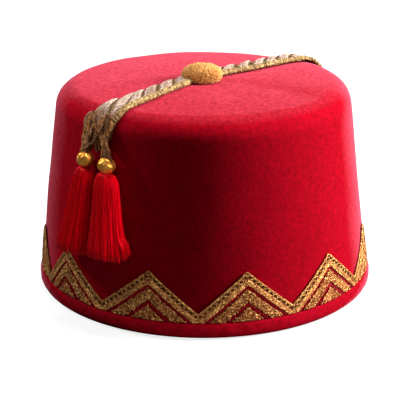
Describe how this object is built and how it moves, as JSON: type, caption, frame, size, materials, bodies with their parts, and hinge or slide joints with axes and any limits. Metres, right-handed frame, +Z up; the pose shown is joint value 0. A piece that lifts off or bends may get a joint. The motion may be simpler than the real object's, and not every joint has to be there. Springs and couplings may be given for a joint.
{
  "type": "fez hat",
  "caption": "Felt fez with a bound foot, a gold zigzag border, a plaited strap over the top with a round button, and tassels that hang from beads.",
  "frame": {"origin": "on the surface that the hat stands on, at the middle of the object's extents in X and Y", "axes": "+Z up out of the crown's top, -Y towards the front, from which the picture looks; the tassels hang at the front's left"},
  "size_m": [0.1876, 0.1892, 0.1223],
  "materials": {
    "red_felt": "short velvety nap",
    "red_binding": "rolled velvety cloth",
    "gold_gimp": "woven metallic gimp braid, satin",
    "gold_chevron": "couched metallic thread, satin",
    "gold_triangle": "filled metallic thread, rough",
    "gold_braid": "plaited metallic braid with corded edges",
    "gold_pile": "dense cut pile",
    "polished_gold": "polished, softly dented",
    "red_thread": "silky rayon thread",
    "brown_cord": "thin twisted cord"
  },
  "bodies": {
    "root": {"crown": "red_felt", "hem_binding": "red_binding", "zigzag_braid": "gold_gimp", "strap": "gold_braid", "button": "gold_pile", "tassel_cord_left": "brown_cord", "tassel_cord_right": "brown_cord", "bead_left": "polished_gold", "bead_right": "polished_gold", "tassel_left": "red_thread", "tassel_right": "red_thread", "chevron_01": "gold_chevron", "chevron_02": "gold_chevron", "chevron_03": "gold_chevron", "chevron_04": "gold_chevron", "chevron_05": "gold_chevron", "chevron_06": "gold_chevron", "chevron_07": "gold_chevron", "chevron_08": "gold_chevron", "chevron_09": "gold_chevron", "chevron_10": "gold_chevron", "chevron_11": "gold_chevron", "triangle_01": "gold_triangle", "triangle_02": "gold_triangle", "triangle_03": "gold_triangle", "triangle_04": "gold_triangle", "triangle_05": "gold_triangle", "triangle_06": "gold_triangle", "triangle_07": "gold_triangle", "triangle_08": "gold_triangle", "triangle_09": "gold_triangle", "triangle_10": "gold_triangle", "triangle_11": "gold_triangle"}
  },
  "joints": []
}
